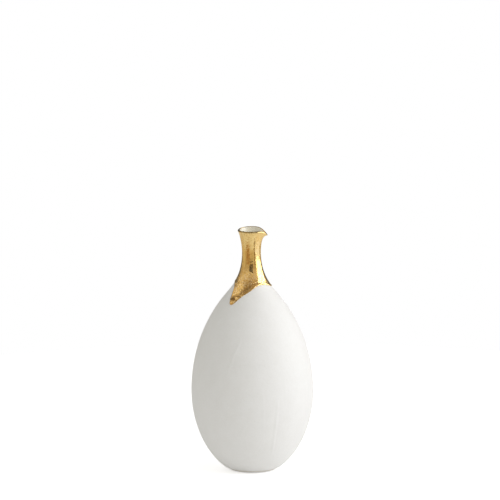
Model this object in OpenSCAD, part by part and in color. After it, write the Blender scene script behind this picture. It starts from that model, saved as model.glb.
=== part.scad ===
// Egg-shaped porcelain bottle vase with a flared, lipped mouth. The neck is dipped in a thick gold glaze
// that runs down the shoulder. +Z is up, the origin is at the centre of the base, and the pouring lip
// points along +X. Millimetres and degrees.

/* [Egg] */
// Widest diameter of the egg, over its white glaze
egg_d = 152.2; // [148:0.2:156]
// Height of the widest point
widest_z = 101; // [98:0.5:104]
// Diameter of the foot
foot_d = 59; // [56:0.5:62]
// Radius where the shoulder's curve turns into the neck's
shoulder_r = 33; // [31.6:0.2:34]
// Height of that turn
shoulder_z = 222.8; // [221:0.2:224]
// Radius that the wall loses there for each unit of height
shoulder_slope = 0.84; // [0.78:0.01:0.9]

/* [Neck and mouth] */
// Diameter of the neck's waist, under the gold
waist_d = 22.4; // [21:0.2:24]
// Height of the waist
waist_z = 277.5; // [275:0.5:280]
// Diameter of the mouth, under the gold
mouth_d = 32.4; // [31:0.2:34]
// Height of the mouth
mouth_z = 303.6; // [301:0.2:306]
// How far the pouring lip stands out
lip_out = 3.4; // [2:0.2:4]
// How far the pouring lip dips
lip_drop = 6; // [3:0.2:7]
// Half the angle that the pouring lip takes up
lip_spread = 26; // [22:1:34]

/* [Gold] */
// Height of the gold's lower edge between its runs
gold_z = 238.9; // [237:0.1:241]
// How far the gold reaches past the top of the mouth's edge, in degrees round that edge
gold_over = 10; // [0:1:30]
// Thickness of the gold glaze
gold_t = 0.7; // [0.5:0.1:1]
// Extra thickness of the gold glaze in the bead along its lower edge
bead_t = 0.4; // [0.2:0.1:1]

/* [Walls and glazes] */
// Thickness of the porcelain wall
wall = 4; // [3.5:0.1:5]
// Thickness of the porcelain at the mouth's edge
rim_wall = 1.8; // [1.5:0.1:2.4]
// Thickness of the white glaze
white_t = 0.5; // [0.3:0.1:0.8]
// Thickness of the glaze inside
lining_t = 0.4; // [0.3:0.1:0.6]

/* [Foot] */
// Thickness of the felt pads, which is how high the foot ring stands
pad_t = 1; // [0.5:0.1:2]
// Diameter of a felt pad
pad_d = 9; // [7:0.5:10]
// Radius of the circle that the pads are on
pad_ring_r = 20; // [19.5:0.1:20.5]
// Radius of the hollow under the foot
hollow_r = 14; // [11:0.5:14.5]
// Depth of the hollow under the foot
hollow_depth = 2; // [1:0.2:3]
// Thickness of the floor above the foot ring
floor_t = 7; // [6:0.5:9]

/* [Hidden] */
$fn = 96;

egg_r = egg_d / 2;
foot_r = foot_d / 2;
foot_angle = asin(foot_r / egg_r);                  // where the foot cuts the lower half's ellipse
egg_drop = (widest_z - pad_t) / cos(foot_angle);    // that ellipse's upright half axis
floor_z = pad_t + floor_t;

shoulder = [shoulder_r, shoulder_z];
waist = [waist_d / 2, waist_z];
mouth = [mouth_d / 2, mouth_z];
shoulder_way = [-shoulder_slope, 1] / norm([-shoulder_slope, 1]);

belly_pull = 48.5;      // how far each curve runs straight on from its end before it bends
shoulder_pull = 40.5;
throat_pull = 17.8;
waist_pull = 29.4;
flare_pull = 7;
mouth_pull = [2.2, 3.8];

// The outline's stretches: 0 to 1 is the egg's lower half, 1 to 2 its upper half, 2 to 3 the neck from the
// shoulder to the waist, and 3 to 4 the flare up to the mouth.
curves = [
    [[egg_r, widest_z], [egg_r, widest_z + belly_pull], shoulder - shoulder_pull * shoulder_way, shoulder],
    [shoulder, shoulder + throat_pull * shoulder_way, waist - [0, waist_pull], waist],
    [waist, waist + [0, flare_pull], mouth - mouth_pull, mouth],
];
joint_u = 2.6;          // where the neck is luted to the egg
mouth_u = 4;
glaze_start_u = 0.05;   // where the white glaze begins, just above the foot
lip_start_z = 286;      // the pouring lip and the mouth's waves fade out at this height
lip_bend = 2.4;         // the higher this is, the shorter the lip's bend under the mouth's edge
lip_angle = 5;          // the lip is turned this far from +X towards the back
back_rise = 0.6;        // the mouth is this much higher at the back than on average, and lower in front
side_dip = 0.6;         // and this much lower at its left and right

// The gold's runs, as [angle from +X, how far the edge drops there, its spread before that angle, and after].
// The first two make the long run in front. The others make a low sag at the right and two runs behind.
gold_runs = [
    [-133.7, 11.6, 11.6, 13.8],
    [-123, 13.8, 30, 38],
    [13, 6.5, 46, 36],
    [44, 21.8, 13.5, 15],
    [124, 10.8, 15, 16.5],
];
bead_rise = 12;         // the higher this is, the narrower the bead along the gold's edge
gold_taper = 20;        // the gold thins out over this angle at its inner end

egg_rows = 52;          // how many steps each surface's outline has
neck_rows = 13;
gold_rows = 16;
edge_rows = 4;
widest_step = 6;        // the widest angle between two columns of the neck's and the gold's surfaces
tallest_step = 2.5;     // the most that the gold's edge climbs or drops between two of them

function bezier(p, t) =
    pow(1 - t, 3) * p[0] + 3 * pow(1 - t, 2) * t * p[1] + 3 * (1 - t) * t * t * p[2] + pow(t, 3) * p[3];

function bezier_way(p, t) =
    3 * (pow(1 - t, 2) * (p[1] - p[0]) + 2 * (1 - t) * t * (p[2] - p[1]) + t * t * (p[3] - p[2]));

function ellipse_angle(u) = foot_angle + u * (90 - foot_angle);

function stretch(u) = min(2, floor(u) - 1);

function outline(u) = u <= 1
    ? [egg_r * sin(ellipse_angle(u)), widest_z - egg_drop * cos(ellipse_angle(u))]
    : bezier(curves[stretch(u)], u - 1 - stretch(u));

function outline_way(u) = u <= 1
    ? [egg_r * cos(ellipse_angle(u)), egg_drop * sin(ellipse_angle(u))]
    : bezier_way(curves[stretch(u)], u - 1 - stretch(u));

function along(u) = outline_way(u) / norm(outline_way(u));

function outward(u) = [along(u)[1], -along(u)[0]];

// The outline's point at u, moved outwards by d.
function skin(u, d = 0) = outline(u) + d * outward(u);

// How deep the porcelain's inner face lies under the outline. The wall thins from the shoulder to the mouth.
function depth(u) = u < 2 ? white_t + wall : white_t + wall - (white_t + wall - rim_wall) * (u - 2) / 2;

function steps(from, to, count) = [for (i = [0:count]) from + (to - from) * i / count];

function reversed(list) = [for (i = [len(list) - 1:-1:0]) list[i]];

function above(points, z) = [for (p = points) if (p[1] > z) p];

// A point of the mouth's rounded edge, grown by d. Angle 90 is the top, 0 faces out and 180 faces in.
function rim(angle, d = 0) =
    let (facing = cos(angle) * outward(mouth_u) + sin(angle) * along(mouth_u))
    skin(mouth_u, -rim_wall / 2) + (rim_wall / 2 + d) * facing;

// The angle from one direction to another, from -180 to 180.
function turn(from, to) = (to - from + 540) % 360 - 180;

// Pulls the pouring lip out and down, and lets the mouth's edge rise and fall a little round the vase.
function lipped(p, a) =
    let (
        share = pow(max(0, min(mouth_z, p[1]) - lip_start_z) / (mouth_z - lip_start_z), lip_bend),
        lip = exp(-pow(turn(lip_angle, a) / lip_spread, 2)),
        wave = back_rise * sin(a) - side_dip * pow(cos(a), 2)
    )
    p + share * [lip_out * lip, wave - lip_drop * lip];

function around(p, a) = [p[0] * cos(a), p[0] * sin(a), p[1]];

// How far one run pulls the gold's edge down at an angle.
function run_drop(run, a) =
    let (off = turn(run[0], a))
    run[1] * exp(-pow(off / (off < 0 ? run[2] : run[3]), 2));

function total(list) = list * [for (value = list) 1];

function edge_z(a) = gold_z - total([for (run = gold_runs) run_drop(run, a)]);

function u_at(z, low = 1, high = mouth_u, tries = 24) =
    tries == 0 ? (low + high) / 2
    : outline((low + high) / 2)[1] < z ? u_at(z, (low + high) / 2, high, tries - 1)
    : u_at(z, low, (low + high) / 2, tries - 1);

// The columns' angles, shared by every surface round the neck. They are closer where the gold's edge
// is steep.
columns = [
    for (a = [-180:widest_step:180 - widest_step])
        let (count = max(1, ceil(abs(edge_z(a + widest_step) - edge_z(a)) / tallest_step)))
        for (k = [0:count - 1]) a + widest_step * k / count
];

// A closed ring through one closed loop of points for each column, in order round the axis.
module ring(loops) {
    n = len(loops);
    m = len(loops[0]);
    polyhedron(
        points = [for (loop = loops) each loop],
        faces = [
            for (i = [0:n - 1]) for (j = [0:m - 1])
                let (i2 = (i + 1) % n, j2 = (j + 1) % m)
                each [
                    [i * m + j, i * m + j2, i2 * m + j2],
                    [i * m + j, i2 * m + j2, i2 * m + j],
                ]
        ]
    );
}

// A ring whose section is the same all round, but for the pouring lip.
module lipped_ring(section) {
    ring([for (a = columns) [for (p = section) around(lipped(p, a), a)]]);
}

egg_u = steps(0, joint_u, egg_rows);
neck_u = steps(joint_u, mouth_u, neck_rows);

// The slip-cast egg, with its foot ring, the hollow under it and an open top.
module egg_body() {
    edge_r = 1.5;
    edge_turn = [-90, -20];
    edge_middle = [foot_r - white_t - edge_r, pad_t + edge_r];
    foot_edge = [
        for (a = steps(edge_turn[0], edge_turn[1], edge_rows)) edge_middle + edge_r * [cos(a), sin(a)]
    ];
    hollow_z = pad_t + hollow_depth;
    outside = [for (u = egg_u) skin(u, -white_t)];
    inside = [for (u = egg_u) skin(u, -depth(u))];
    color("whitesmoke")
        rotate_extrude()
            polygon(concat(
                [[0, hollow_z], [hollow_r - hollow_depth, hollow_z], [hollow_r, pad_t]],
                foot_edge,
                above(outside, pad_t + edge_r),
                reversed(above(inside, floor_z)),
                [[0, floor_z]]
            ));
}

// The neck with its flared mouth, luted to the egg's open top.
module neck() {
    edge = steps(0, 180, edge_rows);
    color("whitesmoke")
        lipped_ring(concat(
            [for (u = neck_u) skin(u)],
            [for (i = [1:edge_rows - 1]) rim(edge[i])],
            [for (u = reversed(neck_u)) skin(u, -depth(u))]
        ));
}

// The matt white glaze over the egg, from just above the foot to the neck.
module white_glaze() {
    glazed = [for (u = egg_u) if (u >= glaze_start_u) u];
    color("white")
        rotate_extrude()
            polygon(concat(
                [for (u = glazed) if (u > glazed[0]) skin(u)],
                [for (u = reversed(glazed)) skin(u, -white_t)]
            ));
}

// One column of the gold glaze, as a closed section: its back against the porcelain, then its face.
function gold_section(a) =
    let (
        end_u = u_at(edge_z(a)),
        over = steps(90 + gold_over, 0, edge_rows),
        down = steps(0, 1, gold_rows),
        us = [for (t = down) mouth_u + (end_u - mouth_u) * t],
        top_back = [for (r = concat([90 + gold_over + gold_taper], over)) rim(r)],
        back = [for (u = us) if (u < mouth_u) skin(u)],
        face = [for (i = [1:gold_rows - 1]) skin(us[i], gold_t + bead_t * pow(down[i], bead_rise))]
    )
    concat(top_back, back, reversed(face), reversed([for (r = over) rim(r, gold_t)]));

// The gold glaze, from inside the mouth's edge down to its runs on the shoulder, with a bead along its edge.
module gold_glaze() {
    color("gold")
        ring([for (a = columns) [for (p = gold_section(a)) around(lipped(p, a), a)]]);
}

// The glossy white glaze inside, in two stretches that meet at the neck's joint.
module inner_glaze() {
    seam = 0.01;
    face = [for (u = egg_u) skin(u, -depth(u) - lining_t)];
    back = [for (u = egg_u) skin(u, -depth(u))];
    color("ghostwhite") {
        rotate_extrude()
            polygon(concat(
                [[0, floor_z]],
                above(back, floor_z),
                reversed(above(face, floor_z + lining_t)),
                [[0, floor_z + lining_t]]
            ));
        translate([0, 0, seam])
            lipped_ring(concat(
                [for (u = neck_u) skin(u, -depth(u))],
                [for (u = reversed(neck_u)) skin(u, -depth(u) - lining_t)]
            ));
    }
}

// Four felt pads stuck under the foot ring.
module felt_pads() {
    color("gainsboro")
        for (a = [45:90:315])
            rotate([0, 0, a])
                translate([pad_ring_r, 0, 0])
                    cylinder(d = pad_d, h = pad_t);
}

egg_body();
neck();
white_glaze();
gold_glaze();
inner_glaze();
felt_pads();
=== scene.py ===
import math

import bmesh
import bpy
import numpy as np
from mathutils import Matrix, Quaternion, Vector, kdtree, noise


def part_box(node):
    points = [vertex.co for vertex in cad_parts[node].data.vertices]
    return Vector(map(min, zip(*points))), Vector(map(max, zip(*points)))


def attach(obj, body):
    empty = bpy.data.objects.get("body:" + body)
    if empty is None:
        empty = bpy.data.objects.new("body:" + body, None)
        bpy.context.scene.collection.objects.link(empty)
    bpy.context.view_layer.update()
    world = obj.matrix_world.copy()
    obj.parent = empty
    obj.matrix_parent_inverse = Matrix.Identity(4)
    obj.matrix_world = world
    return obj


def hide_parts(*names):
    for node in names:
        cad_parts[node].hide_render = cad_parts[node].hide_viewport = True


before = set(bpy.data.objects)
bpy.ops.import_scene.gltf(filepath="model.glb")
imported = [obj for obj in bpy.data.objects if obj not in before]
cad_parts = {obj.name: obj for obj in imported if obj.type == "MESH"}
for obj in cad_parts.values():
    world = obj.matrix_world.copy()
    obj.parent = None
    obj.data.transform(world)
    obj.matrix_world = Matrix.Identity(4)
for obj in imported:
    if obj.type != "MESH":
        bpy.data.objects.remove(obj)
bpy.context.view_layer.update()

MM = 0.001


# ---------------------------------------------------------------- the outline that every layer follows

def unit(way):
    return np.array(way, float) / np.linalg.norm(way)


# Radii, heights and [radius, height] places of the outline.
EGG_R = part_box("white_glaze")[1][0] / MM
PAD_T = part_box("felt_pads")[1][2] / MM
WIDEST_Z = 101
FOOT_R = 29.5
SHOULDER = np.array([33, 222.8])
SHOULDER_WAY = unit([-0.84, 1])
WAIST = np.array([11.2, 277.5])
MOUTH = np.array([16.2, 303.6])

# The porcelain's wall, the glazes on it, the floor inside, and the hollow under the foot.
WALL = 4
RIM_WALL = 1.8
WHITE_T = 0.5
GOLD_T = 0.7
LINING_T = 0.4
FLOOR_Z = PAD_T + 7
HOLLOW_R = 14
HOLLOW_DEPTH = 2
PAD_R = 4.5

FOOT_ANGLE = math.asin(FOOT_R / EGG_R)
EGG_DROP = (WIDEST_Z - PAD_T) / math.cos(FOOT_ANGLE)
CURVES = [
    [[EGG_R, WIDEST_Z], [EGG_R, WIDEST_Z + 48.5], SHOULDER - 40.5 * SHOULDER_WAY, SHOULDER],
    [SHOULDER, SHOULDER + 17.8 * SHOULDER_WAY, WAIST - [0, 29.4], WAIST],
    [WAIST, WAIST + [0, 7], MOUTH - [2.2, 3.8], MOUTH],
]
# Where the egg and the neck are joined, where the mouth's rounded edge starts, and into how many
# steps the outline is cut to find a height on it.
JOINT_U = 2.6
MOUTH_U = 4
OUTLINE_STEPS = 3000

# The pouring lip and the mouth's slight wave, which both fade out downwards to LIP_START_Z.
LIP_OUT = 3.4
LIP_DROP = 6
LIP_SPREAD = 26
LIP_ANGLE = 5
LIP_START_Z = 286
LIP_BEND = 2.4
BACK_RISE = 0.6
SIDE_DIP = 0.6

# The gold's lower edge, and the runs that pull it down,
# as [angle from +X, drop, spread before, spread after].
GOLD_Z = 238.9
GOLD_RUNS = [
    [-133.7, 11.6, 11.6, 13.8],
    [-123, 13.8, 30, 38],
    [13, 6.5, 46, 36],
    [44, 21.8, 13.5, 15],
    [124, 10.8, 15, 16.5],
]
# The fat ends of the runs, as [angle, height, extra thickness, radius].
RUN_BEADS = [[-132, 219.4, 0.9, 3.4], [44, 217.6, 0.9, 3.4], [124, 231.2, 0.6, 2.8]]
# The crease across the long run in front, as [angle, height].
CREASE = [-128, 225.6]
# Brown spots painted on the gold as dark reflection, at the runs' fat ends and above its lower edge, as
# [angle, height, radius, how strongly].
DARK_REFLECTION_SPOTS = [
    [-131.2, 220.6, 6.1, 0.85], [44.8, 218.8, 6.1, 0.85], [124.8, 232.4, 5, 0.85],
    [-121, 225.8, 5.5, 0.4], [-113, 229, 6, 0.5], [-101, 232.2, 6.5, 0.5], [-90, 235.8, 6, 0.4],
    [57, 228, 6, 0.4], [32, 228, 6, 0.4], [112, 236, 5, 0.35],
]


def turn_from(start, degrees):
    """The angle from start to each of the angles, from -180 to 180."""
    return (np.asarray(degrees) - start + 540) % 360 - 180


def outline(u):
    """The outline's places and outward directions, as [radius, height], at each u.

    u is 0 at the foot, 1 where the egg is widest, 2 at the shoulder, 3 at the waist and 4 at the mouth.
    """
    u = np.asarray(u, float)
    place = np.empty((len(u), 2))
    way = np.empty((len(u), 2))
    low = u <= 1
    angle = FOOT_ANGLE + u[low] * (math.pi / 2 - FOOT_ANGLE)
    place[low] = np.stack([EGG_R * np.sin(angle), WIDEST_Z - EGG_DROP * np.cos(angle)], 1)
    way[low] = np.stack([EGG_R * np.cos(angle), EGG_DROP * np.sin(angle)], 1)
    for i, (a, b, c, d) in enumerate(np.array(curve, float) for curve in CURVES):
        on = (u > i + 1) & (u <= i + 2)
        t = (u[on] - i - 1)[:, None]
        place[on] = (1 - t)**3 * a + 3 * (1 - t)**2 * t * b + 3 * (1 - t) * t**2 * c + t**3 * d
        way[on] = (1 - t)**2 * (b - a) + 2 * (1 - t) * t * (c - b) + t**2 * (d - c)
    way /= np.linalg.norm(way, axis=1)[:, None]
    return place, np.stack([way[:, 1], -way[:, 0]], 1)


def depth(u):
    """How deep the porcelain's inner face lies under the outline."""
    full = WHITE_T + WALL
    return full - (full - RIM_WALL) * np.clip(np.asarray(u) - 2, 0, 2) / 2


def rim(degrees):
    """Places and outward directions on the mouth's rounded edge: 0 faces out, 90 up and 180 in."""
    place, out = outline([MOUTH_U])
    up = np.array([-out[0][1], out[0][0]])
    turn = np.radians(degrees)[:, None]
    facing = np.cos(turn) * out + np.sin(turn) * up
    return place - RIM_WALL / 2 * out + RIM_WALL / 2 * facing, facing


def u_at(height):
    """u on the egg's upper half or the neck, at each height."""
    u = np.linspace(1, MOUTH_U, OUTLINE_STEPS)
    return np.interp(height, outline(u)[0][:, 1], u)


def gold_edge(degrees):
    """The height of the gold's lower edge at each angle."""
    height = np.full(np.shape(degrees), GOLD_Z)
    for angle, drop, before, after in GOLD_RUNS:
        off = turn_from(angle, degrees)
        height -= drop * np.exp(-(off / np.where(off < 0, before, after))**2)
    return height


def around(section, degrees):
    """Turns [radius, height] places, one row for each angle, to [x, y, z], and pulls out the lip."""
    r, z = section[..., 0], section[..., 1]
    angle = np.broadcast_to(np.reshape(degrees, (-1,) + (1,) * (section.ndim - 2)), r.shape)
    climb = np.clip(z, LIP_START_Z, MOUTH[1]) - LIP_START_Z
    share = (climb / (MOUTH[1] - LIP_START_Z))**LIP_BEND
    lip = np.exp(-(turn_from(LIP_ANGLE, angle) / LIP_SPREAD)**2)
    turn = np.radians(angle)
    wave = BACK_RISE * np.sin(turn) - SIDE_DIP * np.cos(turn)**2
    r = r + share * LIP_OUT * lip
    z = z + share * (wave - LIP_DROP * lip)
    return np.stack([r * np.cos(turn), r * np.sin(turn), z], -1)


def surface_point(angle, height):
    """[x, y, z] on the egg's upper half or the neck."""
    return around(outline(u_at([height]))[0], [angle])[0]


# ---------------------------------------------------------------- mesh tools

def angles(count):
    """That many angles, evenly spaced right round."""
    return np.arange(count) * 360 / count - 180


def all_round(section, count):
    """One [radius, height] section at each of count angles, as [x, y, z]."""
    return around(np.broadcast_to(section, (count, *section.shape)), angles(count))


def rough(points, size, seed=0.0, stretch=1.0):
    """Smooth noise from -1 to 1 at each [x, y, z]. Features are size across and stretch times as tall."""
    scaled = points.reshape(-1, 3) / [size, size, size * stretch] + seed
    return np.array([noise.noise(Vector(p)) for p in scaled]).reshape(points.shape[:-1])


def distance(points, places):
    """How far each of the points is from the nearest of the places, and which that is."""
    tree = kdtree.KDTree(len(places))
    for i, place in enumerate(places):
        tree.insert(Vector(place), i)
    tree.balance()
    found = [tree.find(Vector(p)) for p in points.reshape(-1, 3)]
    shape = points.shape[:-1]
    far = np.array([f[2] for f in found]).reshape(shape)
    which = np.array([f[1] for f in found]).reshape(shape)
    return far, which


def turned(name, loops, material):
    """A closed skin through one closed loop of points for each angle. Points on the axis are merged."""
    columns, rows = loops.shape[:2]
    column, row = np.meshgrid(np.arange(columns), np.arange(rows), indexing="ij")
    here = column * rows
    beside = (column + 1) % columns * rows
    after = (row + 1) % rows
    quads = np.stack([here + row, beside + row, beside + after, here + after], -1).reshape(-1, 4)
    mesh = bpy.data.meshes.new(name)
    mesh.from_pydata((loops.reshape(-1, 3) * MM).tolist(), [], quads.tolist())
    work = bmesh.new()
    work.from_mesh(mesh)
    bmesh.ops.remove_doubles(work, verts=work.verts, dist=1e-7)
    bmesh.ops.recalc_face_normals(work, faces=work.faces)
    for face in work.faces:
        face.smooth = True
    work.to_mesh(mesh)
    work.free()
    return place_piece(name, mesh, material)


def place_piece(name, mesh, material):
    """A new object in the scene from the mesh, all of one material."""
    piece = bpy.data.objects.new(name, mesh)
    bpy.context.scene.collection.objects.link(piece)
    mesh.materials.append(material)
    return piece


# ---------------------------------------------------------------- materials

def add_node(tree, kind, inputs=(), **settings):
    """A new node with its settings, and with a link or a value for each of the inputs."""
    made = tree.nodes.new(kind)
    for name, value in settings.items():
        setattr(made, name, value)
    for name, value in dict(inputs).items():
        if isinstance(value, bpy.types.NodeSocket):
            tree.links.new(value, made.inputs[name])
        else:
            made.inputs[name].default_value = value
    return made


def new_material(name, **values):
    """A material with a Principled shader, its sockets set by name, and the object's own coordinates."""
    material = bpy.data.materials.new(name)
    material.use_nodes = True
    tree = material.node_tree
    shader = tree.nodes["Principled BSDF"]
    for socket, value in values.items():
        shader.inputs[socket.replace("_", " ").title().replace("Ior", "IOR")].default_value = value
    coords = add_node(tree, "ShaderNodeTexCoord").outputs["Object"]
    return material, tree, shader, coords


def noise_at(tree, coords, size, detail=3.0, roughness=0.5, stretch=(1, 1, 1)):
    """A noise texture whose features are about size metres across."""
    scaled = add_node(tree, "ShaderNodeMapping", {"Vector": coords, "Scale": tuple(1 / s for s in stretch)})
    made = add_node(tree, "ShaderNodeTexNoise", {
        "Vector": scaled.outputs[0], "Scale": 1 / size, "Detail": detail, "Roughness": roughness,
    })
    return made.outputs["Fac"]


def ramp(tree, factor, *stops):
    """A colour ramp through (position, colour) stops. A number stands for a grey."""
    made = add_node(tree, "ShaderNodeValToRGB", {"Fac": factor})
    elements = made.color_ramp.elements
    while len(elements) < len(stops):
        elements.new(0.5)
    for element, (position, colour) in zip(elements, stops):
        element.position = position
        element.color = (colour, colour, colour, 1) if isinstance(colour, (int, float)) else (*colour, 1)
    return made.outputs["Color"]


def mix(tree, factor, a, b, blend="MIX"):
    """Colour a, blended towards b by the factor. In a colour mix, sockets 0, 6 and 7 are the three."""
    made = add_node(tree, "ShaderNodeMix", data_type="RGBA", blend_type=blend)
    for index, value in ((0, factor), (6, a), (7, b)):
        if isinstance(value, bpy.types.NodeSocket):
            tree.links.new(value, made.inputs[index])
        else:
            made.inputs[index].default_value = value if index == 0 else (*value, 1)
    return made.outputs[2]


def bump(tree, shader, height, distance, strength=1.0):
    """Adds a bump of about distance metres on top of those that the shader has already."""
    made = add_node(tree, "ShaderNodeBump", {"Height": height, "Distance": distance, "Strength": strength})
    before = shader.inputs["Normal"].links
    if before:
        tree.links.new(before[0].from_socket, made.inputs["Normal"])
    tree.links.new(made.outputs[0], shader.inputs["Normal"])


def matt_white():
    """The dry, eggshell-fine white coat: a soft mottle, sparse pinholes with painted shade in them, and a
    fine grain.
    """
    material, tree, shader, coords = new_material("matt_white", specular_ior_level=0.35, sheen_weight=0.05)
    mottle = noise_at(tree, coords, 0.014, 4)
    fine = noise_at(tree, coords, 0.0022, 5, 0.6)
    clouds = ramp(tree, mottle, (0.3, (0.815, 0.808, 0.782)), (0.7, (0.85, 0.845, 0.825)))
    grain = ramp(tree, fine, (0.35, (0.82, 0.812, 0.788)), (0.65, (0.85, 0.846, 0.828)))
    colour = mix(tree, 0.5, clouds, grain)
    cells = add_node(tree, "ShaderNodeTexVoronoi", {"Vector": coords, "Scale": 160.0, "Randomness": 1.0})
    pinholes = ramp(tree, cells.outputs["Distance"], (0.03, 0.0), (0.09, 1.0))
    # The pinholes are painted grey, as shade inside them.
    colour = mix(tree, ramp(tree, pinholes, (0, 0.22), (1, 0.0)), colour, (0.62, 0.6, 0.56))
    tree.links.new(colour, shader.inputs["Base Color"])
    tree.links.new(ramp(tree, mottle, (0.3, 0.56), (0.7, 0.68)), shader.inputs["Roughness"])
    bump(tree, shader, noise_at(tree, coords, 0.006, 3), 0.00025, 0.5)
    bump(tree, shader, fine, 0.00005, 0.5)
    bump(tree, shader, pinholes, 0.00008, 0.6)
    return material


def gold():
    """Thick gold lustre with an orange-peel skin, thin along the mouth's edge and painted dark there as
    shade, with painted brown reflections and painted highlights low down.
    """
    material, tree, shader, coords = new_material("gold", metallic=1.0)
    low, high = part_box("gold_glaze")
    height = add_node(tree, "ShaderNodeSeparateXYZ", {"Vector": coords}).outputs["Z"]
    limits = {"Value": height, "From Min": float(low[2]), "From Max": float(high[2])}
    rise = add_node(tree, "ShaderNodeMapRange", limits).outputs[0]
    flow = noise_at(tree, coords, 0.006, 4, 0.55, (1, 1, 3))
    peel = noise_at(tree, coords, 0.0014, 3, 0.6)
    # Darker and browner towards the gold's lower end; the last stop is painted shade along the mouth's
    # edge.
    by_height_and_rim_shade = ramp(
        tree, rise, (0.0, (0.68, 0.44, 0.15)), (0.3, (0.84, 0.57, 0.215)), (0.6, (0.9, 0.65, 0.25)),
        (0.96, (0.9, 0.66, 0.27)), (0.98, (0.33, 0.29, 0.16)))
    colour = mix(tree, ramp(tree, flow, (0.4, 0.0), (0.7, 0.6)), by_height_and_rim_shade, (0.72, 0.42, 0.12))
    colour = mix(tree, ramp(tree, peel, (0.55, 0.0), (0.75, 0.6)), colour, (0.96, 0.78, 0.42))
    # Paler spots low down on the gold are painted highlights, standing in for glints on its lumps.
    pale_glint_spots = ramp(tree, noise_at(tree, coords, 0.0022, 1), (0.48, 0.0), (0.62, 0.75))
    low_down = ramp(tree, rise, (0.32, 1.0), (0.48, 0.1))
    colour = mix(tree, mix(tree, 1.0, pale_glint_spots, low_down, "MULTIPLY"), colour, (1.0, 0.8, 0.5))
    # Painted dark reflections: brown spots at the runs' ends and above the lower edge.
    colour = paint_dark_reflections(tree, coords, colour)
    tree.links.new(colour, shader.inputs["Base Color"])
    tree.links.new(ramp(tree, flow, (0.3, 0.08), (0.75, 0.22)), shader.inputs["Roughness"])
    bump(tree, shader, noise_at(tree, coords, 0.004, 2), 0.0005, 0.5)
    bump(tree, shader, peel, 0.00012, 0.6)
    bump(tree, shader, blisters(tree, coords, rise), 0.00035, 0.9)
    return material


def paint_dark_reflections(tree, coords, colour):
    """The colour, turned brown round the middle of each spot, as painted dark reflection."""
    for angle, height, radius, strength in DARK_REFLECTION_SPOTS:
        middle = Vector(surface_point(angle, height) * MM)
        apart = add_node(tree, "ShaderNodeVectorMath", {0: coords, 1: middle}, operation="DISTANCE")
        span = {"Value": apart.outputs["Value"], "From Max": radius * MM}
        near = add_node(tree, "ShaderNodeMapRange", span).outputs[0]
        colour = mix(tree, ramp(tree, near, (0.4, strength), (0.78, 0.0)), colour, (0.36, 0.22, 0.08))
    return colour


def blisters(tree, coords, rise):
    """The height of small blisters, in patches low down on the gold and round the mouth."""
    cells = add_node(tree, "ShaderNodeTexVoronoi", {"Vector": coords, "Scale": 560.0, "Randomness": 1.0})
    dots = ramp(tree, cells.outputs["Distance"], (0.05, 1.0), (0.38, 0.0))
    patches = ramp(tree, noise_at(tree, coords, 0.011, 2), (0.5, 0.0), (0.6, 1.0))
    ends = ramp(
        tree, rise, (0.0, 1.0), (0.35, 0.9), (0.5, 0.15), (0.78, 0.1), (0.88, 1.0), (1.0, 1.0))
    return mix(tree, mix(tree, 1.0, patches, ends, "MULTIPLY"), (0, 0, 0), dots)


def gloss_white():
    """The glossy lining: a warm white glaze that is slightly creamier where it is thin."""
    material, tree, shader, coords = new_material("gloss_white", coat_weight=0.3, coat_roughness=0.06)
    cloud = noise_at(tree, coords, 0.008, 4)
    colour = ramp(tree, cloud, (0.3, (0.77, 0.72, 0.57)), (0.7, (0.82, 0.785, 0.67)))
    tree.links.new(colour, shader.inputs["Base Color"])
    tree.links.new(ramp(tree, cloud, (0.3, 0.12), (0.7, 0.22)), shader.inputs["Roughness"])
    bump(tree, shader, noise_at(tree, coords, 0.004, 2), 0.0002, 0.4)
    return material


def bare_porcelain():
    """Unglazed fired porcelain: chalky, with a fine sandy grain and small iron specks."""
    material, tree, shader, coords = new_material("bare_porcelain", specular_ior_level=0.3)
    cloud = noise_at(tree, coords, 0.01, 4)
    grain = noise_at(tree, coords, 0.0006, 2)
    colour = ramp(tree, cloud, (0.3, (0.74, 0.71, 0.65)), (0.7, (0.8, 0.78, 0.73)))
    specks = add_node(tree, "ShaderNodeTexVoronoi", {"Vector": coords, "Scale": 300.0}).outputs["Distance"]
    colour = mix(tree, ramp(tree, specks, (0.05, 0.5), (0.12, 0.0)), colour, (0.45, 0.36, 0.26))
    tree.links.new(colour, shader.inputs["Base Color"])
    tree.links.new(ramp(tree, grain, (0.3, 0.75), (0.7, 0.95)), shader.inputs["Roughness"])
    bump(tree, shader, grain, 0.00006, 0.7)
    return material


def felt():
    """Pressed grey felt: tangled fibres with a soft sheen."""
    material, tree, shader, coords = new_material("felt", sheen_weight=0.4, sheen_roughness=0.5)
    fibres = noise_at(tree, coords, 0.0004, 4, 0.7, (1, 4, 1))
    crossed = noise_at(tree, coords, 0.0004, 4, 0.7, (4, 1, 1))
    tangle = mix(tree, 0.5, fibres, crossed)
    colour = ramp(tree, tangle, (0.35, (0.5, 0.49, 0.47)), (0.65, (0.72, 0.71, 0.68)))
    tree.links.new(colour, shader.inputs["Base Color"])
    tree.links.new(ramp(tree, tangle, (0.3, 0.85), (0.7, 1.0)), shader.inputs["Roughness"])
    bump(tree, shader, tangle, 0.0002, 0.9)
    return material


# ---------------------------------------------------------------- the pieces

# The square of a coat's least thickness, as a share of the full one, where its edge runs out.
MIN_FILM = 0.0004

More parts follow.
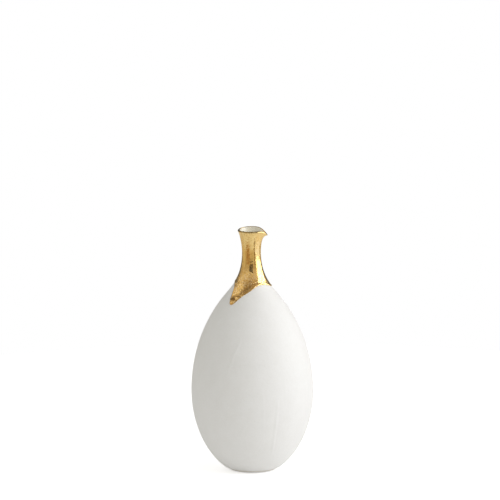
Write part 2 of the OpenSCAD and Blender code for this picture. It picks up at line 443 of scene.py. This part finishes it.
# Faint raised runs and specks in the white coat, as a path of [angle, height], the run's height
# and half its width.
WHITE_RUNS = [
    ([[-103, 177], [-106, 167], [-110, 156], [-113, 144], [-116, 131]], 0.34, 1.5),
    ([[-65.3, 100], [-66, 82], [-66.7, 62], [-66.5, 42], [-65.5, 30]], 0.3, 1.4),
    ([[-95, 72], [-99, 65], [-102, 58]], 0.16, 1.2),
    ([[-80, 112], [-79.5, 84], [-79, 52]], 0.1, 1.3),
    ([[-58, 128], [-57, 112], [-57, 92]], 0.1, 1.3),
    ([[-20, 160], [-22, 140], [-21, 118], [-23, 96]], 0.22, 1.5),
    ([[28, 120], [27, 96], [28.5, 66]], 0.26, 1.4),
    ([[74, 186], [71, 172], [70, 150]], 0.28, 1.5),
    ([[112, 92], [112.5, 70], [111, 46]], 0.3, 1.5),
    ([[150, 150], [148, 132], [147, 116]], 0.24, 1.5),
    ([[-152, 108], [-151, 92], [-151.5, 70]], 0.24, 1.4),
    ([[-179.5, 150.5], [-179.5, 149.5]], 0.5, 1.1),
    ([[95, 140], [95, 139.2]], 0.35, 1.2),
    ([[15, 184], [15, 183.2]], 0.35, 1.2),
]


def run_relief(points):
    """How high the white coat's runs stand at each [x, y, z]. Each run fades out at its ends."""
    steps = 60
    fade = np.sin(math.pi * np.linspace(0.08, 0.92, steps))**0.7
    line_r, line_z = outline(np.linspace(0, MOUTH_U, OUTLINE_STEPS))[0].T
    places = []
    heights = []
    half_widths = []
    for path, height, half_width in WHITE_RUNS:
        along = np.linspace(0, len(path) - 1, steps)
        degrees, z = (np.interp(along, range(len(path)), values) for values in np.transpose(path))
        places.append(around(np.stack([np.interp(z, line_z, line_r), z], 1), degrees))
        heights.append(height * fade)
        half_widths.append(np.full(steps, half_width))
    near, which = distance(points, np.concatenate(places))
    return np.concatenate(heights)[which] * np.exp(-(near / np.concatenate(half_widths)[which])**2)


def white_coat(material):
    """The matt white glaze. It ends in a rounded, slightly wandering edge just above the foot."""
    degrees = angles(384)
    start_u = 0.055
    edge_r = 1.2
    u = start_u + (JOINT_U - start_u) * np.linspace(0, 1, 230)**1.15
    place, out = outline(u)
    base = np.broadcast_to(place, (len(degrees), *place.shape))
    on_outline = around(base, degrees)
    from_start = np.concatenate([[0], np.cumsum(np.linalg.norm(np.diff(place, axis=0), axis=1))])
    wander = 0.5 + 0.5 * rough(on_outline[:, :1], 9, 31)
    short = 1 - np.clip((from_start - wander) / edge_r, 0, 1)
    thick = WHITE_T - 0.05 - 0.05 * rough(on_outline, 16, 5) - 0.02 * rough(on_outline, 5, 9)
    thick = (thick + run_relief(on_outline)) * np.sqrt(np.clip(1 - short**2, MIN_FILM, 1))

    # The outline is the coat's own outer face, so the coat is moved in by its full thickness.
    raised = around(base + out * thick[..., None], degrees)
    beneath = around(base - out * WHITE_T, degrees)
    outside = raised - (on_outline - beneath)
    coarse = slice(None, None, -12)
    inside = around(base[:, coarse] - out[coarse] * WHITE_T, degrees)
    return turned("white_coat", np.concatenate([beneath[:, :1], outside, inside[:, :-1]], 1), material)


def gold_coat(material):
    """The gold glaze, from inside the mouth's edge down to its beaded, running lower edge."""
    degrees = angles(460)
    over = rim(np.linspace(152, 0, 16))
    share = np.linspace(1, 0, 178)[1:]**1.25
    end_u = u_at(gold_edge(degrees))
    u = end_u[:, None] + (MOUTH_U - end_u)[:, None] * share
    down = (np.reshape(values, (*u.shape, 2)) for values in outline(u.ravel()))
    place, out = (
        np.concatenate([np.broadcast_to(top, (len(degrees), *top.shape)), rest], 1)
        for top, rest in zip(over, down))
    on_surface = around(place, degrees)

    # The film swells to a bead along its lower edge and to a fat drop at the end of each run.
    line = np.linspace(-180, 180, 1440, endpoint=False)
    edge_points = around(outline(u_at(gold_edge(line)))[0], line)
    from_edge, _ = distance(on_surface, edge_points)
    thick = GOLD_T - 0.13 + 0.25 * np.exp(-((from_edge - 1.6) / 1.2)**2)
    for angle, height, extra, radius in RUN_BEADS:
        away = on_surface - surface_point(angle, height)
        thick += extra * np.exp(-(np.linalg.norm(away, axis=-1) / radius)**2)

    # The crease is a short groove across the way down.
    centre = surface_point(*CREASE)
    away = on_surface - centre
    along = away @ unit([centre[0], centre[1], -1.1 * math.hypot(*centre[:2])])
    thick -= 0.4 * np.exp(-(along / 0.9)**2 - (np.linalg.norm(away, axis=-1) / 5)**2)

    # The whole film is uneven, and lumpier on the shoulder.
    thick += 0.12 * rough(on_surface, 5.5, 3, 5) + 0.05 * rough(on_surface, 2.4, 7)
    low_down = np.clip((252 - on_surface[..., 2]) / 12, 0, 1)
    thick += 0.1 * low_down * rough(on_surface, 2.4, 17)

    # Both ends round down to the surface beneath, the upper one over its first three rows.
    from_top = np.arange(place.shape[1]) / 3
    rounded = np.minimum(np.clip(from_edge / 1.15, 0, 1), np.clip(from_top, 0, 1))
    thick = thick * np.sqrt(np.clip(1 - (1 - rounded)**2, MIN_FILM, 1))
    outside = around(place + out * thick[..., None], degrees)
    inside = on_surface[:, ::-10]
    return turned("gold_coat", np.concatenate([outside, inside[:, :-1]], 1), material)


def lining(material):
    """The glossy glaze inside, from the floor of the egg up to the gold on the mouth's edge."""
    u = np.concatenate([np.linspace(0, JOINT_U, 120), np.linspace(JOINT_U, MOUTH_U, 60)[1:]])
    place, out = outline(u)
    wall = place - out * depth(u)[:, None]
    above_floor = wall[:, 1] > FLOOR_Z + 0.1
    wall = wall[above_floor]
    out = out[above_floor]
    over, over_out = rim(np.linspace(178, 156, 8))
    wall = np.concatenate([[[wall[0][0], FLOOR_Z]], wall, over])
    facing = np.concatenate([[[0, 1]], -out, over_out])
    thick = LINING_T * np.append(np.ones(len(wall) - 3), [0.85, 0.5, 0.1])
    face = wall + facing * thick[:, None]
    face[0] = [face[1][0], FLOOR_Z + LINING_T]
    face = np.maximum(face, [0, FLOOR_Z + LINING_T])
    section = np.concatenate([[[0, FLOOR_Z + LINING_T]], face, wall[::-4], [[0, FLOOR_Z]]])
    return turned("lining", all_round(section, 240), material)


def porcelain_egg(material):
    """The egg itself, with its foot ring, the turned hollow under it, and an open top inside the gold."""
    u = np.linspace(0, JOINT_U, 150)
    place, out = outline(u)
    outside = place - out * (WHITE_T + 0.02)
    inside = place - out * depth(u)[:, None]

    # The foot ring: its rounded outer and inner corners, and fine turning marks between them.
    outer_r = 1.5
    inner_r = 0.8
    outer = arc([FOOT_R - WHITE_T - outer_r, PAD_T + outer_r], outer_r, np.linspace(-90, -20, 10))
    inner = arc([HOLLOW_R + inner_r, PAD_T + inner_r], inner_r, np.linspace(180, 270, 8))
    ring_r = np.linspace(HOLLOW_R + inner_r, FOOT_R - WHITE_T - outer_r, 40)[1:-1]
    ring = np.stack([ring_r, PAD_T + 0.03 * (1 - np.cos(2 * math.pi * ring_r / 1.3))], 1)

    # The hollow under the foot has wider turning grooves, which fade out in the middle.
    hollow_r = np.linspace(0, HOLLOW_R - HOLLOW_DEPTH, 60)
    grooves = 0.12 * np.sin(2 * math.pi * hollow_r / 1.9) * np.clip(hollow_r / 2, 0, 1)
    hollow = np.stack([hollow_r, PAD_T + HOLLOW_DEPTH + grooves], 1)
    section = np.concatenate([
        hollow, inner, ring, outer, outside[outside[:, 1] > PAD_T + outer_r + 0.4],
        inside[inside[:, 1] > FLOOR_Z][::-1], [[0, FLOOR_Z]],
    ])
    return turned("porcelain_egg", all_round(section, 240), material)


def arc(centre, radius, degrees):
    """[radius, height] places round a centre, from 0 outwards to 90 upwards."""
    turn = np.radians(degrees)
    return centre + radius * np.stack([np.cos(turn), np.sin(turn)], 1)


def felt_dots(material):
    """The four felt pads under the foot, as cut discs with soft edges and a slight fuzz."""
    low, high = (np.array(corner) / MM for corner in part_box("felt_pads"))
    thick = high[2] - low[2]
    middle = high[0] - PAD_R
    edge_r = 0.35
    steps = np.radians(np.linspace(-90, 90, 9))
    side = np.stack([PAD_R - edge_r + edge_r * np.cos(steps), thick / 2 * (1 + np.sin(steps))], 1)
    flat = np.linspace(0, PAD_R - 0.4, 14)
    top = np.stack([flat, 0 * flat + thick], 1)[::-1]
    r, z = np.concatenate([np.stack([flat, 0 * flat], 1), side, top]).T
    turn = np.radians(angles(72))[:, None]
    way = np.stack([np.cos(turn), np.sin(turn)], -1)
    work = bmesh.new()
    for x in (-middle, middle):
        for y in (-middle, middle):
            disc = np.stack([x + r * np.cos(turn), y + r * np.sin(turn), z + 0 * turn], -1)
            fuzz = np.abs(0.05 * rough(disc, 0.7, x) * np.clip(r / 2, 0, 1))
            disc[..., :2] -= (fuzz * np.clip((r - 3.9) / 0.3, 0, 1))[..., None] * way
            disc[..., 2] += np.where(z < thick / 2, fuzz, 0)
            one = turned(f"dot_{x:.0f}_{y:.0f}", disc, material)
            work.from_mesh(one.data)
            bpy.data.objects.remove(one)
    mesh = bpy.data.meshes.new("felt_dots")
    work.to_mesh(mesh)
    work.free()
    return place_piece("felt_dots", mesh, material)


def build_vase():
    """Every piece on the one body. The neck keeps its CAD mesh, since glaze covers all of it."""
    looks = {
        "matt_white": matt_white(),
        "gold": gold(),
        "gloss_white": gloss_white(),
        "porcelain": bare_porcelain(),
        "felt": felt(),
    }
    for piece, node, slot in (
        (white_coat(looks["matt_white"]), "white_glaze", "matt_white"),
        (gold_coat(looks["gold"]), "gold_glaze", "gold"),
        (lining(looks["gloss_white"]), "inner_glaze", "gloss_white"),
        (porcelain_egg(looks["porcelain"]), "egg_body", "porcelain"),
        (felt_dots(looks["felt"]), "felt_pads", "felt"),
    ):
        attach(piece, "root")
        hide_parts(node)
    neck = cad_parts["neck"]
    neck.material_slots[0].material = looks["porcelain"]


# ---------------------------------------------------------------- camera, light and floor

def aim(obj, position, target, roll=0.0):
    """Puts obj at position, looking at target, turned by roll degrees."""
    obj.location = position
    way = Vector(target) - Vector(position)
    tilt = Quaternion((0, 0, 1), math.radians(roll))
    obj.rotation_mode = "QUATERNION"
    obj.rotation_quaternion = way.to_track_quat("-Z", "Y") @ tilt


def direction(azimuth, elevation):
    """The unit vector towards that azimuth, from -Y round to +X, and elevation."""
    turn = math.radians(azimuth)
    climb = math.radians(elevation)
    return Vector((
        math.sin(turn) * math.cos(climb), -math.cos(turn) * math.cos(climb), math.sin(climb)))


def camera():
    """A very long lens, 11 degrees above the horizon, since the photo shows hardly any perspective."""
    far = 24.0
    width_seen = 0.6237
    target = Vector((-0.00175, 0, 0.2788))
    data = bpy.data.cameras.new("camera")
    data.lens = data.sensor_width * far / width_seen
    made = bpy.data.objects.new("camera", data)
    bpy.context.scene.collection.objects.link(made)
    aim(made, target + far * direction(0, 11), target, roll=-0.38)
    bpy.context.scene.camera = made


def softbox(name, azimuth, far, middle, size, watts):
    """An upright soft light at that azimuth and distance, whose middle is at that height."""
    data = bpy.data.lights.new(name, "AREA")
    data.shape = "RECTANGLE"
    data.size, data.size_y = size
    data.energy = watts
    data.color = (0.985, 0.99, 1.04)
    made = bpy.data.objects.new(name, data)
    bpy.context.scene.collection.objects.link(made)
    aim(made, far * direction(azimuth, 0) + Vector((0, 0, middle)), (0, 0, middle))
    made.visible_glossy = False


def card(name, azimuth, far, low, high, width, shade, glow=0.0, tint=(1, 1, 1)):
    """An upright card at that azimuth and distance, which only reflections can see."""
    half_width = width / 2
    half_tall = (high - low) / 2
    corners = [(x * half_width, y * half_tall, 0) for x, y in ((-1, -1), (1, -1), (1, 1), (-1, 1))]
    mesh = bpy.data.meshes.new(name)
    mesh.from_pydata(corners, [], [(0, 1, 2, 3)])
    material, tree, shader, coords = new_material(name, roughness=0.9, emission_strength=glow)
    shader.inputs["Emission Color"].default_value = (*tint, 1)
    shade = np.broadcast_to(shade, 3)
    colour = ramp(tree, noise_at(tree, coords, 0.3), (0.3, shade), (0.7, shade * 1.2))
    tree.links.new(colour, shader.inputs["Base Color"])
    made = place_piece(name, mesh, material)
    middle = Vector((0, 0, (low + high) / 2))
    aim(made, far * direction(azimuth, 0) + middle, middle)
    made.visible_camera = False
    made.visible_diffuse = False
    made.visible_shadow = False


def glowing(tree, shader, strength):
    """The shader with that much white light of its own."""
    glow = add_node(tree, "ShaderNodeEmission", {"Color": (1, 1, 1, 1), "Strength": strength})
    return add_node(tree, "ShaderNodeAddShader", {0: shader.outputs[0], 1: glow.outputs[0]}).outputs[0]


def floor():
    """A white table top, clear from below. To the camera it glows as white as the room behind it."""
    radius = 0.8
    turn = np.radians(angles(96))
    ring = np.stack([radius * np.cos(turn), radius * np.sin(turn), 0 * turn], 1)
    mesh = bpy.data.meshes.new("floor")
    mesh.from_pydata(ring.tolist(), [], [tuple(range(len(ring)))])
    material, tree, shader, coords = new_material("floor", roughness=0.7)
    colour = ramp(tree, noise_at(tree, coords, 0.05), (0.3, 0.84), (0.7, 0.86))
    tree.links.new(colour, shader.inputs["Base Color"])
    seen = add_node(tree, "ShaderNodeLightPath").outputs["Is Camera Ray"]
    lit = glowing(tree, shader, 0.55)
    dim = glowing(tree, shader, 0.12)
    top = add_node(tree, "ShaderNodeMixShader", {0: seen, 1: dim, 2: lit}).outputs[0]
    under = add_node(tree, "ShaderNodeNewGeometry").outputs["Backfacing"]
    clear = add_node(tree, "ShaderNodeBsdfTransparent").outputs[0]
    both = add_node(tree, "ShaderNodeMixShader", {0: under, 1: top, 2: clear})
    tree.links.new(both.outputs[0], tree.nodes["Material Output"].inputs["Surface"])
    place_piece("floor", mesh, material)


def room():
    """An even pale room. Its reflection in the gold is warm and patchy, with a pale spot on the left."""
    world = bpy.data.worlds.new("room")
    world.use_nodes = True
    tree = world.node_tree
    way = add_node(tree, "ShaderNodeTexCoord").outputs["Generated"]
    height = add_node(tree, "ShaderNodeSeparateXYZ", {"Vector": way}).outputs["Z"]
    limits = {"Value": height, "From Min": -1.0, "From Max": 1.0}
    rise = add_node(tree, "ShaderNodeMapRange", limits).outputs[0]
    shine = ramp(
        tree, rise, (0.45, (0.7, 0.62, 0.46)), (0.6, (0.6, 0.53, 0.42)), (0.72, (0.8, 0.74, 0.64)),
        (0.84, (0.54, 0.46, 0.36)), (0.93, (0.34, 0.28, 0.2)), (0.98, (0.75, 0.66, 0.5)))
    patches = ramp(tree, noise_at(tree, way, 0.35, 2), (0.35, (0.6, 0.52, 0.4)), (0.6, (1, 1, 1)))
    shine = mix(tree, 0.7, shine, patches, "MULTIPLY")
    towards = {0: way, 1: direction(-94, 44)}
    aligned = add_node(tree, "ShaderNodeVectorMath", towards, operation="DOT_PRODUCT").outputs["Value"]
    shine = mix(tree, ramp(tree, aligned, (0.95, 0.0), (0.985, 1.0)), shine, (0.9, 0.82, 0.66))
    path = add_node(tree, "ShaderNodeLightPath").outputs
    light = mix(tree, path["Is Glossy Ray"], (0.615, 0.61, 0.585), shine)
    light = mix(tree, path["Is Camera Ray"], light, (1, 1, 1))
    tree.links.new(light, tree.nodes["Background"].inputs["Color"])
    bpy.context.scene.world = world


def studio():
    """A white table top in a pale room, with a tall soft window on the right.

    Each card is given by its azimuth, distance, low and high height, width and shade, and some by a glow.
    """
    floor()
    room()
    softbox("window", 70, 1.8, 1.21, (1.84, 1.74), 24)
    card("window_pane", 89, 1.75, 0.13, 2.05, 2.26, 0.8, 2.6)
    card("window_sill", 82, 0.6, 0.005, 0.2, 0.7, 0.8, 0.42, (0.95, 1.08, 1.7))
    card("left_back", -146, 1.6, 0.01, 1.8, 1.1, 0.2)
    card("right_back", 152, 1.6, 0.01, 1.8, 0.9, 0.16)
    card("back", 180, 1.6, 0.34, 1.4, 1.2, 0.1)
    card("left_stand", -42, 0.45, 0.06, 0.28, 0.36, (0.46, 0.3, 0.15))
    card("right_stand", 38, 0.45, 0.005, 0.31, 0.09, (0.34, 0.22, 0.12))
    card("tripod", -4, 1.2, 0.56, 0.78, 0.8, 0.005)
    card("tripod_foot", -3, 1.2, 0.35, 0.52, 0.8, 0.005)
    bpy.context.scene.view_settings.view_transform = "Standard"


camera()
build_vase()
studio()
